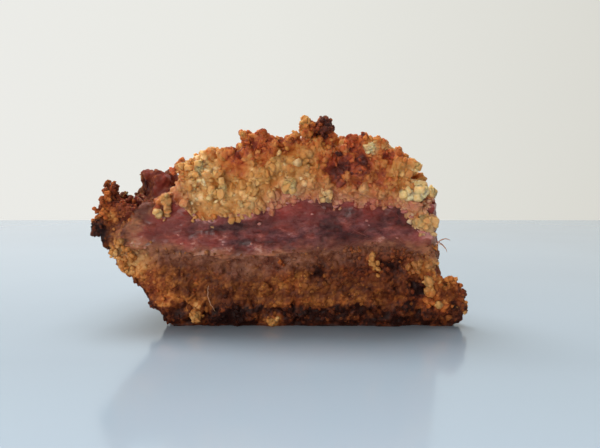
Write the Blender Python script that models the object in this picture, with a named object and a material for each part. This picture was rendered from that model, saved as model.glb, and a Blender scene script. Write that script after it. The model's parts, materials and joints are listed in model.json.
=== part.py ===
# Slice of crumble cake: a crumb crust with a raised rim, a fruit layer and a crumble topping.
# The slice rests on its flat underside, its rim towards -X, its tip towards +X and its front
# cut face towards -Y. It was cut as a wedge from a round dish, whose middle is near the tip.
import math
import random

import bmesh
import bpy
from mathutils import Matrix, Vector, noise

MM = 0.001

# Driving sizes in millimetres and degrees
WEDGE_ANGLE = 42.0
GAP = 0.3
BELOW_FLOOR = -2.0
TABLE_BOX = (260.0, 260.0, 90.0)
# Furthest that an uneven crumb reaches, as a share of its size
CRUMB_REACH = 1.36

# Heights of the interfaces at the front and back cut faces, by distance from the dish's middle
FRUIT_FLOOR = ((10.0, 21.5), (25.0, 22.3), (40.0, 21.0), (55.0, 19.6), (70.0, 19.4), (80.0, 20.3),
               (88.0, 21.6), (94.3, 23.4))
FRUIT_TOP_FRONT = ((10.0, 33.4), (20.0, 33.3), (33.0, 33.8), (44.0, 34.8), (51.0, 34.2),
                   (58.0, 30.6), (69.0, 29.6), (76.0, 31.0), (81.0, 35.2), (85.5, 34.9),
                   (94.3, 25.8))
FRUIT_TOP_BACK = ((10.0, 33.6), (20.0, 34.2), (33.0, 32.2), (44.0, 31.6), (51.0, 33.4),
                  (58.0, 34.6), (69.0, 33.0), (76.0, 34.0), (81.0, 36.4), (85.5, 36.8),
                  (94.3, 25.8))
CRUMBLE_TOP_FRONT = ((16.4, 42.0), (21.0, 44.8), (24.0, 47.0), (28.5, 49.6),
                     (33.0, 49.2), (36.0, 46.4), (39.0, 50.6), (44.5, 51.4), (49.0, 49.2),
                     (51.5, 46.7), (55.0, 49.4), (61.0, 49.8), (64.5, 46.4), (72.0, 45.2),
                     (79.0, 41.6))
CRUMBLE_TOP_BACK = ((16.4, 42.0), (21.0, 44.6), (24.0, 46.4), (28.5, 47.0),
                    (33.0, 47.8), (36.0, 48.2), (39.0, 48.6), (44.5, 47.8), (49.0, 47.2),
                    (51.5, 47.6), (55.0, 48.4), (61.0, 47.6), (64.5, 46.4), (72.0, 45.0),
                    (79.0, 41.8))

# Height of the rim's crest by angle from the front cut face
RIM_CREST = ((0.0, 35.4), (3.0, 38.0), (4.5, 36.8), (6.0, 33.8), (9.0, 31.6), (11.0, 33.0),
             (12.0, 40.2), (17.0, 39.6), (22.0, 38.2), (30.0, 39.0), (36.0, 36.6), (42.0, 35.0))
# Crest height below which the rim carries no crumbs
RIM_NOTCH = 34.6
# How much lower the rim's crest is on its inner side, by angle
RIM_DROP = ((0.0, 3.2), (8.0, 3.2), (12.0, 0.4), (42.0, 0.4))
# How far the rim's broken edge steps back, by angle
RIM_INSET = ((0.0, 0.0), (9.0, 0.0), (12.0, 1.8), (18.0, 1.2), (24.0, 0.0))

FRUIT_TIP_RADIUS = 11.0
FRUIT_RIM_RADIUS = 94.0
CRUMBLE_TIP_RADIUS = 16.4
CRUMBLE_RIM_RADIUS = 79.0


def table_value(table, x):
    """Value at x of a table of (x, value) rows, straight between the rows."""
    if x <= table[0][0]:
        return table[0][1]
    for (x0, y0), (x1, y1) in zip(table, table[1:]):
        if x <= x1:
            return y0 + (y1 - y0) * (x - x0) / (x1 - x0)
    return table[-1][1]


def across(front, back, radius, angle):
    """Height at a radius, blended from the front face's table to the back face's."""
    share = max(0.0, min(1.0, angle / WEDGE_ANGLE))
    return (1.0 - share) * table_value(front, radius) + share * table_value(back, radius)


def fruit_top(radius, angle):
    return across(FRUIT_TOP_FRONT, FRUIT_TOP_BACK, radius, angle)


def crumble_top(radius, angle):
    return across(CRUMBLE_TOP_FRONT, CRUMBLE_TOP_BACK, radius, angle)


def place(radius, angle, height):
    """Point in millimetres from polar coordinates about the dish's middle."""
    turn = math.radians(angle)
    return Vector((-radius * math.cos(turn), radius * math.sin(turn), height))


def stations(knots, step):
    """The knots with even stations between them, no further apart than step."""
    found = [knots[0]]
    for start, end in zip(knots, knots[1:]):
        pieces = max(1, math.ceil(abs(end - start) / step - 0.01))
        found += [start + (end - start) * (k + 1) / pieces for k in range(pieces)]
    return found


# Sections: for an angle, a list of (lower, upper) pairs of (radius, height)

def crust_section(angle):
    """Floor, sloping dish side and crumbled rim, which bends in over the fruit's edge."""
    crest = table_value(RIM_CREST, angle)
    inset = table_value(RIM_INSET, angle)
    pairs = [((4.4, BELOW_FLOOR), (5.0, 9.6)), ((7.0, BELOW_FLOOR), (7.2, 10.6)),
             ((9.0, BELOW_FLOOR), (9.7, 11.6))]
    for radius in stations([10.5, 25.0, 40.0, 55.0, 70.0, 80.0], 5.1):
        pairs.append(((radius, BELOW_FLOOR), (radius, table_value(FRUIT_FLOOR, radius) - GAP)))
    side = [(84.2, 1.8), (88.9, 8.0), (92.6, 13.0), (97.2, 17.3), (99.8, 21.0), (101.2, 25.0)]
    floor = [84.0, 88.0, 91.0, 93.2, 94.4]
    for lower, radius in zip(side, floor):
        pairs.append((lower, (radius, table_value(FRUIT_FLOOR, radius) - GAP)))
    over = GAP * 1.5
    pairs.append((side[-1], (94.7, fruit_top(94.3, angle) + over)))
    pairs.append(((101.6, 28.2), (91.0, fruit_top(91.0, angle) + over)))
    pairs.append(((101.0, 31.2), (87.0, fruit_top(87.0, angle) + over)))
    inner = crest - table_value(RIM_DROP, angle)
    inner_edge = max(inner - 1.8, fruit_top(88.0, angle) + over + 0.4)
    inner_crest = max(inner, fruit_top(91.0, angle) + over + 1.0)
    pairs.append(((100.4 - inset, max(crest - 3.0, 31.8)), (88.0, inner_edge)))
    pairs.append(((97.8 - inset, max(crest - 0.6, 32.2)), (91.0, inner_crest)))
    return pairs


def fruit_section(angle):
    """Soft fruit layer, thin where it runs out under the rim."""
    pairs = []
    knots = [FRUIT_TIP_RADIUS, 20.0, 25.0, 33.0, 40.0, 44.0, 51.0, 58.0, 69.0, 76.0, 81.0, 85.5,
             88.0, FRUIT_RIM_RADIUS]
    for radius in stations(knots, 4.6):
        pairs.append(((radius, table_value(FRUIT_FLOOR, radius)), (radius, fruit_top(radius, angle))))
    return pairs


def crumble_section(angle):
    """Core of the crumble topping, a crumb's depth inside the heap's outline."""
    pairs = []
    knots = [CRUMBLE_TIP_RADIUS, 20.0, 24.0, 28.5, 33.0, 36.0, 39.0, 44.0, 51.0, 55.0, 58.0,
             61.0, 64.5, 69.0, 76.0, CRUMBLE_RIM_RADIUS]
    for radius in stations(knots, 4.6):
        pairs.append(((radius, fruit_top(radius, angle) + GAP), (radius, crumble_top(radius, angle))))
    return pairs


# Blocks: a cube cut into a grid and laid along a section, round the wedge

def grid_cube(along, round_steps, through):
    """A unit cube from 0 to 1 whose faces are cut into even steps along X, Y and Z."""
    block = bmesh.new()
    bmesh.ops.create_cube(block, size=1.0, matrix=Matrix.Translation((0.5, 0.5, 0.5)))
    for axis, steps in enumerate((along, round_steps, through)):
        if steps < 2:
            continue
        edges = []
        for edge in block.edges:
            first, second = (vert.co for vert in edge.verts)
            if abs(first[axis] - second[axis]) > 0.5:
                edges.append(edge)
        bmesh.ops.subdivide_edges(block, edges=edges, cuts=steps - 1, use_grid_fill=True)
    return block


def cut_relief(point, roughness, recess):
    """Depth in millimetres that a torn cut face is set back at a point."""
    broad = noise.noise(Vector((point.x, point.y, point.z)) * 0.11)
    fine = noise.noise(Vector((point.x, point.y, point.z)) * 0.29 + Vector((7.0, 3.0, 5.0)))
    return recess + roughness * (0.9 * broad + 1.0 * fine)


def wedge_block(name, section, round_steps, through, roughness, recess, skin, colour):
    """A closed block that follows a section round the wedge, torn on its cut faces."""
    along = len(section(0.0)) - 1
    block = grid_cube(along, round_steps, through)
    for vert in block.verts:
        station = round(vert.co.x * along)
        turn = round(vert.co.y * round_steps)
        angle = WEDGE_ANGLE * turn / round_steps
        share = vert.co.z
        lower, upper = section(angle)[station]
        radius = lower[0] + (upper[0] - lower[0]) * share
        height = lower[1] + (upper[1] - lower[1]) * share
        if turn in (0, round_steps):
            depth = cut_relief(place(radius, angle, height), roughness, recess)
            depth *= min(1.0, radius / 18.0)
            swing = math.degrees(depth / max(radius, 6.0))
            angle += swing if turn == 0 else -swing
            lower, upper = section(angle)[station]
            radius = lower[0] + (upper[0] - lower[0]) * share
            height = lower[1] + (upper[1] - lower[1]) * share
        point = place(radius, angle, height)
        point += skin(point, station, share) * point.normalized()
        vert.co = point * MM
    # The radius runs towards -X, which mirrors the cube
    bmesh.ops.reverse_faces(block, faces=block.faces)
    return new_object(name, block, colour)


def no_skin(point, station, share):
    return 0.0


def dish_side_skin(point, station, share):
    """Shallow pits where the crust met the dish."""
    if share > 0.01 or point.z < 1.0 or point.z > 31.0:
        return 0.0
    return 1.1 * noise.noise(point * 0.17 + Vector((2.0, 9.0, 4.0))) - 0.2


def crumble_skin(point, station, share):
    """Lumps in the core's upper side."""
    if share < 0.99:
        return 0.0
    return 1.6 * noise.noise(point * 0.14 + Vector((5.0, 1.0, 8.0)))


# Crumbs: small uneven lumps that are fused on

def crumb(collection, name, centre, radius, rng, flat=1.0):
    lump = bmesh.new()
    bmesh.ops.create_icosphere(lump, subdivisions=1, radius=radius * 1.08)
    for vert in lump.verts:
        vert.co *= rng.uniform(0.86, 1.14)
    stretch = Matrix.Diagonal((rng.uniform(0.85, 1.15), rng.uniform(0.85, 1.15), flat, 1.0))
    turn = Matrix.Rotation(rng.uniform(0.0, math.tau), 4, Vector((rng.random(), rng.random(), 0.4)))
    bmesh.ops.transform(lump, matrix=stretch @ turn, verts=lump.verts)
    bmesh.ops.transform(lump, matrix=Matrix.Translation(centre), verts=lump.verts)
    bmesh.ops.transform(lump, matrix=Matrix.Scale(MM, 4), verts=lump.verts)
    mesh = bpy.data.meshes.new(name)
    lump.to_mesh(mesh)
    lump.free()
    piece = bpy.data.objects.new(name, mesh)
    collection.objects.link(piece)
    return piece


def spaced(draw, wanted, spacing, placed):
    """Draw (centre, radius) pairs until as many are placed, none nearer than the spacing."""
    found = []
    for _ in range(wanted * 60):
        if len(found) >= wanted:
            break
        drawn = draw()
        if drawn is None:
            continue
        centre, radius = drawn
        others = placed + found
        if all((centre - other).length > spacing * (radius + size) for other, size in others):
            found.append((centre, radius))
    return found


def crumble_crumbs(rng):
    """Crumbs over the top, both cut faces, the slope to the rim and the blunt end."""
    named = [
        # Charred cluster at the summit
        (place(40.4, 3.0, 54.2), 2.8), (place(38.4, 2.0, 52.2), 2.4), (place(42.2, 6.0, 53.2), 2.5),
        # Peaks along the front edge, from the rim to the tip
        (place(78.6, 1.4, 43.6), 2.5), (place(72.2, 1.4, 46.2), 2.5), (place(66.4, 1.8, 47.2), 2.3),
        (place(61.2, 1.8, 51.0), 2.6), (place(57.6, 2.0, 51.2), 2.3), (place(53.8, 2.0, 50.0), 2.3),
        (place(49.0, 1.6, 50.6), 2.7), (place(45.0, 1.6, 53.6), 2.7), (place(33.2, 3.0, 50.6), 2.5),
        (place(29.4, 3.0, 50.8), 2.3), (place(26.0, 2.6, 49.8), 2.2), (place(21.6, 5.0, 47.2), 2.2),
        (place(17.0, 5.0, 43.8), 2.2),
    ]

    def on_top():
        radius = math.sqrt(rng.uniform(18.0 ** 2, 79.0 ** 2))
        angle = rng.uniform(2.0, WEDGE_ANGLE - 2.0)
        size = rng.choice((2.4, 2.9, 3.4, 3.9))
        return place(radius, angle, crumble_top(radius, angle) + 0.1), size

    def on_cut(angle, side):
        radius = rng.uniform(17.0, 77.0)
        size = rng.choice((2.2, 2.6, 3.1))
        low = fruit_top(radius, angle) + size * CRUMB_REACH
        high = crumble_top(radius, angle) - 0.4
        if high < low:
            return None
        inward = side * math.degrees(0.9 / radius)
        return place(radius, angle + inward, rng.uniform(low, high)), size

    def on_slope():
        angle = rng.uniform(2.0, WEDGE_ANGLE - 2.0)
        size = rng.choice((2.4, 2.8, 3.2))
        low = fruit_top(CRUMBLE_RIM_RADIUS, angle) + size * CRUMB_REACH
        return place(CRUMBLE_RIM_RADIUS, angle, rng.uniform(low, 42.0)), size

    crumbs = list(named)
    crumbs += spaced(lambda: on_cut(0.0, 1.0), 44, 0.78, crumbs)
    crumbs += spaced(lambda: on_cut(WEDGE_ANGLE, -1.0), 38, 0.80, crumbs)
    crumbs += spaced(on_slope, 22, 0.80, crumbs)
    crumbs += spaced(on_top, 96, 0.80, crumbs)
    return crumbs


def hanging_crumbs():
    """Crumbs pressed into the fruit: at and above its blunt end and by the rim."""
    return [
        (place(14.8, 5.0, 36.4), 2.5), (place(12.0, 12.0, 36.1), 2.5), (place(13.6, 24.0, 36.6), 2.6),
        (place(15.4, 4.0, 31.8), 2.8), (place(13.8, 6.0, 28.0), 2.8),
        (place(80.6, 2.4, 36.0), 2.4), (place(83.2, 1.6, 34.2), 2.1), (place(85.0, 1.2, 31.2), 1.7),
    ]


def clear_of_fruit(radius, angle, height, size):
    """Whether a crumb above the fruit's outer slope stays clear of it."""
    reach = size * CRUMB_REACH
    for step in range(14):
        near = 81.0 + step
        if math.hypot(near - radius, fruit_top(near, angle) - height) < reach:
            return False
    return height > fruit_top(radius, angle)


def crust_crumbs(rng):
    """Crumbs on the rim, the cut faces, the dish side and the foot below the tip."""
    named = [
        # Foot below the tip
        (place(4.9, 10.0, 11.4), 2.3), (place(3.0, 18.0, 8.6), 2.0), (place(3.0, 14.0, 5.2), 2.3),
        (place(4.6, 22.0, 2.4), 2.4), (place(8.0, 34.0, 9.6), 2.6), (place(8.4, 12.0, 12.2), 2.1),
        # Rim at the front corner, seen from the cut face
        (place(97.4, 2.0, 37.0), 2.5), (place(98.8, 3.6, 34.8), 2.3), (place(99.6, 1.6, 32.4), 2.7),
        (place(94.6, 1.0, 32.4), 2.6), (place(101.2, 1.2, 27.2), 2.6), (place(99.0, 1.0, 22.6), 2.3),
        (place(95.2, 0.8, 17.4), 2.1), (place(86.6, 0.8, 6.4), 2.0),
        # Lumps at the foot of the front cut face
        (place(75.0, 0.3, 3.4), 2.3), (place(54.6, 0.2, 1.9), 2.2),
    ]

    def on_rim():
        angle = rng.uniform(3.0, WEDGE_ANGLE - 1.0)
        radius = rng.uniform(90.0, 98.0 - table_value(RIM_INSET, angle))
        size = rng.choice((2.4, 2.8, 3.3))
        crest = table_value(RIM_CREST, angle)
        if radius < 95.0:
            crest -= table_value(RIM_DROP, angle)
        if crest < RIM_NOTCH or not clear_of_fruit(radius, angle, crest, size):
            return None
        return place(radius, angle, crest + 0.2), size

    def on_inner_rim():
        angle = rng.uniform(10.0, WEDGE_ANGLE - 1.0)
        size = rng.choice((1.8, 2.2))
        height = table_value(RIM_CREST, angle) - rng.uniform(0.4, 2.4)
        if not clear_of_fruit(88.8, angle, height, size):
            return None
        return place(88.8, angle, height), size

    def on_cut(angle, side):
        radius = rng.uniform(11.0, 96.0)
        size = rng.choice((1.8, 2.2, 2.6))
        low = max(size * 0.5, (radius - 80.0) * 1.25 + size * 0.6)
        high = table_value(FRUIT_FLOOR, min(radius, 80.0)) - size * 1.35
        if high < low:
            return None
        inward = side * math.degrees(1.1 / radius)
        return place(radius, angle + inward, rng.uniform(low, high)), size

    def on_dish_side():
        angle = rng.uniform(2.0, WEDGE_ANGLE - 2.0)
        height = rng.uniform(1.6, 32.0)
        radius = table_value(((1.6, 83.8), (13.0, 92.2), (25.0, 100.4), (32.0, 100.4)), height)
        return place(radius - 0.9, angle, height), rng.choice((1.7, 2.1, 2.5))

    crumbs = list(named)
    crumbs += spaced(lambda: on_cut(0.0, 1.0), 34, 0.92, crumbs)
    crumbs += spaced(lambda: on_cut(WEDGE_ANGLE, -1.0), 28, 0.92, crumbs)
    crumbs += spaced(on_rim, 26, 0.76, crumbs)
    crumbs += spaced(on_inner_rim, 12, 0.85, crumbs)
    crumbs += spaced(on_dish_side, 16, 1.15, crumbs)
    return crumbs


# Joining

def new_object(name, block, colour):
    mesh = bpy.data.meshes.new(name)
    block.to_mesh(mesh)
    block.free()
    mesh.materials.append(food_material(name, colour))
    piece = bpy.data.objects.new(name, mesh)
    parts.objects.link(piece)
    return piece


def food_material(name, colour):
    material = bpy.data.materials.new(name)
    material.use_nodes = True
    shader = material.node_tree.nodes["Principled BSDF"]
    shader.inputs["Base Color"].default_value = (*colour, 1.0)
    shader.inputs["Roughness"].default_value = 0.75
    return material


def boolean(piece, operation, operand):
    """Join or cut a piece with a collection or an object, and keep the result."""
    modifier = piece.modifiers.new(operation.title(), "BOOLEAN")
    modifier.operation = operation
    modifier.solver = "MANIFOLD"
    if isinstance(operand, bpy.types.Collection):
        modifier.operand_type = "COLLECTION"
        modifier.collection = operand
    else:
        modifier.object = operand
    bpy.context.view_layer.update()
    evaluated = piece.evaluated_get(bpy.context.evaluated_depsgraph_get())
    mesh = bpy.data.meshes.new_from_object(evaluated)
    piece.modifiers.clear()
    piece.data = mesh


def volume(faces):
    total = 0.0
    for face in faces:
        corners = [vert.co for vert in face.verts]
        for second, third in zip(corners[1:], corners[2:]):
            total += corners[0].dot(second.cross(third)) / 6.0
    return total


def keep_largest_shell(piece):
    """Fill sealed hollows and drop loose scraps: only the outer shell stays."""
    block = bmesh.new()
    block.from_mesh(piece.data)
    bmesh.ops.triangulate(block, faces=block.faces)
    waiting = set(block.faces)
    shells = []
    while waiting:
        edge_of_search = [waiting.pop()]
        shell = []
        while edge_of_search:
            face = edge_of_search.pop()
            shell.append(face)
            for edge in face.edges:
                for neighbour in edge.link_faces:
                    if neighbour in waiting:
                        waiting.remove(neighbour)
                        edge_of_search.append(neighbour)
        shells.append(shell)
    shells.sort(key=volume)
    scraps = [face for shell in shells[:-1] for face in shell]
    bmesh.ops.delete(block, geom=scraps, context="FACES")
    block.to_mesh(piece.data)
    block.free()


def thin_out(piece, triangles):
    """Collapse the shortest edges until the piece has about as many triangles."""
    modifier = piece.modifiers.new("Thin out", "DECIMATE")
    modifier.ratio = min(1.0, triangles / len(piece.data.polygons))
    bpy.context.view_layer.update()
    evaluated = piece.evaluated_get(bpy.context.evaluated_depsgraph_get())
    mesh = bpy.data.meshes.new_from_object(evaluated)
    piece.modifiers.clear()
    piece.data = mesh


def fuse(piece, crumbs, seed):
    """Join crumbs to a piece by one union on a collection, which is then emptied."""
    rng = random.Random(seed)
    for number, (centre, radius) in enumerate(crumbs):
        crumb(helpers, f"crumb_{number}", centre, radius, rng)
    boolean(piece, "UNION", helpers)
    clear_helpers()


def pocket(piece, crumbs, seed):
    """Cut room for the same crumbs, a gap larger all round."""
    rng = random.Random(seed)
    for number, (centre, radius) in enumerate(crumbs):
        hollow = crumb(helpers, f"hollow_{number}", centre, radius, rng)
        grown = 1.0 + GAP * 1.7 / radius
        middle = centre * MM
        hollow.data.transform(Matrix.Translation(middle) @ Matrix.Scale(grown, 4)
                              @ Matrix.Translation(-middle))
    boolean(piece, "DIFFERENCE", helpers)
    clear_helpers()


def clear_helpers():
    for helper in list(helpers.objects):
        bpy.data.objects.remove(helper)


def flatten_underside(piece):
    """Keep what is above the surface that the slice rests on."""
    block = bmesh.new()
    size = Matrix.Diagonal((*TABLE_BOX, 1.0))
    up = Matrix.Translation((0.0, 0.0, TABLE_BOX[2] / 2.0))
    bmesh.ops.create_cube(block, size=1.0, matrix=Matrix.Scale(MM, 4) @ up @ size)
    mesh = bpy.data.meshes.new("above_table")
    block.to_mesh(mesh)
    block.free()
    above = bpy.data.objects.new("above_table", mesh)
    helpers.objects.link(above)
    boolean(piece, "INTERSECT", above)
    clear_helpers()


def centre_on_origin(pieces):
    """Move the slice so that the middle of its underside is at the origin."""
    corners = [vert.co for piece in pieces for vert in piece.data.vertices]
    middle = Vector([(min(c[k] for c in corners) + max(c[k] for c in corners)) / 2 for k in range(3)])
    middle.z = 0.0
    for piece in pieces:
        piece.data.transform(Matrix.Translation(-middle))
        piece.parent = slice_empty
    print("dish middle at", [round(-value / MM, 3) for value in middle])


for existing in list(bpy.data.objects):
    bpy.data.objects.remove(existing)

parts = bpy.data.collections.new("crumble_cake_slice")
helpers = bpy.data.collections.new("helpers")
bpy.context.scene.collection.children.link(parts)
bpy.context.scene.collection.children.link(helpers)
slice_empty = bpy.data.objects.new("crumble_cake_slice", None)
parts.objects.link(slice_empty)

CRUST_TRIANGLES = 5150
CRUMBLE_TRIANGLES = 7400
CRUST_SEED = 11
CRUMBLE_SEED = 23
HANGING_SEED = 5

crust = wedge_block("base_crust", crust_section, 14, 5, 1.3, 0.1, dish_side_skin, (0.20, 0.085, 0.03))
fuse(crust, crust_crumbs(random.Random(CRUST_SEED)), CRUST_SEED)
keep_largest_shell(crust)
thin_out(crust, CRUST_TRIANGLES)
flatten_underside(crust)
keep_largest_shell(crust)

fruit = wedge_block("fruit_filling", fruit_section, 6, 4, 0.7, 0.7, no_skin, (0.22, 0.06, 0.07))
pocket(fruit, hanging_crumbs(), HANGING_SEED)
keep_largest_shell(fruit)

crumble = wedge_block("crumble_topping", crumble_section, 9, 3, 0.9, 0.4, crumble_skin,
                      (0.52, 0.25, 0.08))
fuse(crumble, hanging_crumbs(), HANGING_SEED)
fuse(crumble, crumble_crumbs(random.Random(CRUMBLE_SEED)), CRUMBLE_SEED)
keep_largest_shell(crumble)
thin_out(crumble, CRUMBLE_TRIANGLES)

centre_on_origin([crust, fruit, crumble])
for piece in (crust, fruit, crumble):
    print(piece.name, len(piece.data.polygons), "triangles")
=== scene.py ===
# Looks of a slice of crumble cake: crumb crust, moist fruit layer and browned crumble topping.
# One fine skin over the CAD layers is given each layer's torn or granular surface, split into
# the layers' pieces along ragged lines, and strewn with crumbs.
import json
import math

import bmesh
import bpy
import numpy as np
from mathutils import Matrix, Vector, noise
from mathutils.bvhtree import BVHTree

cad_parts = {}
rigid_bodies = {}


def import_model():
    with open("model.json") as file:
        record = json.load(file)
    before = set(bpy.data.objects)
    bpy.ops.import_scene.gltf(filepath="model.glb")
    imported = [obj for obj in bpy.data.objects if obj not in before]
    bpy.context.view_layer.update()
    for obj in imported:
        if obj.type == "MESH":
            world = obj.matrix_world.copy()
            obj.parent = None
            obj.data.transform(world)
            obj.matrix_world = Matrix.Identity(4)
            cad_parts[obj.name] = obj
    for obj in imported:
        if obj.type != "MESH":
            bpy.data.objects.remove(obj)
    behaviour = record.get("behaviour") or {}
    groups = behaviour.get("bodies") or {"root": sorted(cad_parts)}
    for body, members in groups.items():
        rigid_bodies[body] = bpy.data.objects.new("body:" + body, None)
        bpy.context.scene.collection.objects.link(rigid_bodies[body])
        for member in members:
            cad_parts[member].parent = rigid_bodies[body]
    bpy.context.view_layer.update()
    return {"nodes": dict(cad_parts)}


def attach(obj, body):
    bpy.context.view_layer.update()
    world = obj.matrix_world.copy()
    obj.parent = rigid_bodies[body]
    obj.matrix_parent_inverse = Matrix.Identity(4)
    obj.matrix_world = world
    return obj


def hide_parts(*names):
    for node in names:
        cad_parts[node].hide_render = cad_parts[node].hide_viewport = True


MM = 0.001

# Places in millimetres: the middle of the dish that the wedge was cut from, the camera, which
# looks along +Y from the photo's distance and height, and the stage
DISH_MIDDLE = (52.2, -32.5)
CAMERA_PLACE = (5.3, -177.3, 43.0)
CAMERA_PITCH = 5.8
CAMERA_LENS = 32.46
STAGE_HALF = 900.0
FLOOR_END = 278.0
WALL_Y = 320.0
WALL_BASE = -200.0

# Sizes of the surface detail in millimetres
SKIN_VOXEL = 0.42
SKIN_SMOOTHING = 3
CRUMBLE_GRAIN = 1.8
CRUST_GRAIN = 1.25
GAP_LIMIT = 8.0
SEAM_REACH = 0.8
FRONT_DEPTH = -26.0
CLEAR_AIR = 3.0

# The CAD layers from the top down, and their columns in tables of shares and gaps
LAYERS = ("crumble_topping", "fruit_filling", "base_crust")
CRUMBLE, FRUIT, CRUST = range(3)
STAGE_NAMES = ("floor", "wall")

# Scattered crumbs: piece, how many, spacing, least and greatest radius, how finely they are faceted
CRUMBLE_KINDS = (
    ("crumble_lumps", 300, 2.4, (0.65, 1.35), 3), ("crumble_grains", 1550, 1.35, (0.42, 1.00), 2),
    ("crumble_fine_grains", 1800, 1.0, (0.22, 0.44), 1),
)
CRUST_KINDS = (
    ("crust_lumps", 90, 3.4, (0.7, 1.15), 3), ("crust_grains", 1300, 1.5, (0.34, 0.72), 2),
    ("crust_fine_grains", 2400, 0.9, (0.2, 0.4), 1),
)
SEAM_LEVEL = 2

# How far the crumbs' middles lie out of the surface, in radii
CRUMBLE_SINK = (-0.9, 0.1)
CRUST_SINK = (-0.6, 0.2)

# Crumbs at the seams: how many, spacing, least and greatest radius, how far out of the surface
SEAM_KINDS = {
    "hanging_grains": (200, 1.2, (0.35, 0.95), (-0.5, 0.2)),
    "soaked_grains": (260, 1.3, (0.25, 0.6), (-0.6, -0.2)), "pulp_bits_and_glints": (90, 2.0, (0.4, 1.0), (-0.5, -0.1)),
}

# No crumbs lie where the crumble faces down more than this, where the crust is lower than this
# in millimetres, or where it is stained more than this
OVERHANG = -0.8
CRUST_FOOT = 0.7
STAIN_LIMIT = 0.55

# Seeds of the random draws
SEEDS = {
    "crumble_grains": 41, "crust_grains": 97, "seams": 29, "seam_shapes": 77, "fibres": 7, "wisps": 3,
    "sugar": 19, "sugar_shapes": 3, "crumble_clusters": 61, "crust_clusters": 67,
}

# Soft panels: place and size in metres, watts, colour, and whether a panel gives nothing but gloss
LIGHTS = (
    ("window", (-0.25, 0.28, 0.65), (0.5, 0.5), 7.2, (1.0, 0.96, 0.90), False),
    ("ceiling", (0.10, 0.14, 0.75), (0.5, 0.5), 2.4, (1.0, 0.96, 0.90), False),
    ("front", (-0.24, -0.70, 0.11), (0.8, 0.2), 4.0, (1.0, 0.92, 0.82), False),
    ("sheen", (-0.30, -0.45, 0.45), (0.4, 0.4), 2.6, (1.0, 0.98, 0.95), True),
)
LIGHT_TARGET = (0.0, 0.0, 0.03)
ROOM_COLOUR = (0.96, 0.93, 0.89, 1.0)
ROOM_STRENGTH = 0.21
# The backdrop is dark under a glow of its own, which is painted light, and this is how strongly it glows
WALL_BODY = (0.02, 0.02, 0.02, 1.0)
WALL_GLOW = 0.94

# Each spot below is x, y, z and radius in millimetres, and an amount

# How much more toasted the crumble is
TOASTED_SPOTS = (
    (-15, -31, 36.5, 6, -0.2), (-22.5, -31, 42.5, 4, -0.32), (-27.4, -31, 41, 2.2, 0.3),
    (-6, -32, 34.5, 5, -0.08), (-7.5, -32, 39, 3, -0.06), (2.7, -32, 38.6, 2.6, -0.22),
    (4, -31, 36, 4, -0.14), (-1, -31, 44.5, 3.2, -0.2), (7.6, -31, 42, 2.6, -0.2),
    (12.5, -32, 35.5, 3, -0.2), (-19.5, -31, 45.5, 3, -0.16), (-12.8, -31, 42.5, 2.4, 0.2),
    (-16, -31, 39.5, 2.2, 0.1), (-5.6, -30, 49.5, 4.2, 0.34), (-11.5, -31, 46, 2.6, 0.26),
    (9, -29, 51, 4, 0.16), (4.2, -31, 52, 2.4, 0.04), (14.5, -31, 49, 3, -0.06),
    (15.5, -31, 45, 2.4, 0.26), (21.6, -31, 44.6, 3.8, 0.5), (21.8, -31, 52, 2.8, 0.3),
    (14.4, -31, 41.4, 3.4, 0.36), (27, -30, 40.5, 3.4, 0.18), (30, -31, 46, 2, 0.42),
    (23.6, -31.5, 48.8, 1.9, -0.6), (29, -31, 48.8, 2.2, -0.26), (35.4, -31, 42.6, 2.6, -0.24),
    (37.6, -31, 36.4, 3.4, -0.4), (38.5, -31, 29.5, 3.6, -0.3), (20, -31, 35.6, 3, -0.2),
    (-34, -31, 33.5, 3.4, 0.16), (-29.5, -31, 45.5, 2.4, 0.16), (31.6, -31, 40.6, 2.4, 0.1),
    (-13, -29, 48.6, 1.2, 0.6), (12.1, -31, 54.5, 2.8, 0.6), (7.4, -31, 55, 1.6, 0.04),
    (16.6, -31, 40.6, 2.8, 0.26),
)

# Where the crumble is red instead of golden
RED_SPOTS = (
    (-5.6, -30, 49.5, 3.6, 1), (-11.5, -31, 44.6, 2.6, 0.8), (-3, -31, 44, 1.8, 0.5),
    (9, -29, 51, 3, 0.3), (15.5, -31, 45.5, 3, 0.7), (21.5, -31, 44.5, 3.8, 1), (30, -31, 46.5, 2, 0.8),
    (19, -31, 52.5, 2.2, 0.7), (26, -31, 39, 2.4, 0.4), (34, -31, 42, 2, 0.4), (15.5, -31, 40.8, 3, 0.5),
    (-30.5, -31, 42, 2.6, 0.7), (-18, -31, 47, 1.6, 0.4),
)

# Where fruit juice has soaked into the crumbs
JUICE_SPOTS = (
    (21.5, -31, 43.5, 4, 0.15), (11, -31, 35.4, 4, 0.35), (20, -31, 35, 3, 0.25),
    (-30.5, -31, 38.5, 3, 0.45), (-27, -31, 37, 2.6, 0.3), (-29, -31, 33, 2.6, 0.4),
    (36, -32, 33.4, 1.4, 0.9), (38.8, -32, 33.6, 1.4, 0.9), (41.4, -31, 33.8, 1.5, 0.9),
    (5, -32, 33.6, 4, 0.6), (0, -32, 34, 2.6, 0.7), (30, -31, 34, 4, 0.4), (16, -32, 34.2, 3, 0.4),
    (23.5, -32, 34.2, 3, 0.4),
)

# Where there is clear pink jelly in the fruit
PINK_SPOTS = (
    (-34, -32, 27, 5, 0.35), (-26.8, -32.5, 22.4, 1.6, 0.9), (-19, -32.5, 22.4, 1.6, 0.4),
    (-28, -32.5, 31.5, 2.6, 0.4), (1, -32, 32, 2.6, 0.6), (8, -32, 31.6, 2.4, 0.4),
    (24, -32, 31.5, 2.4, 0.35), (37, -32, 23, 2.6, 0.4), (-41, -32, 24, 3, 0.3),
)
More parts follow.
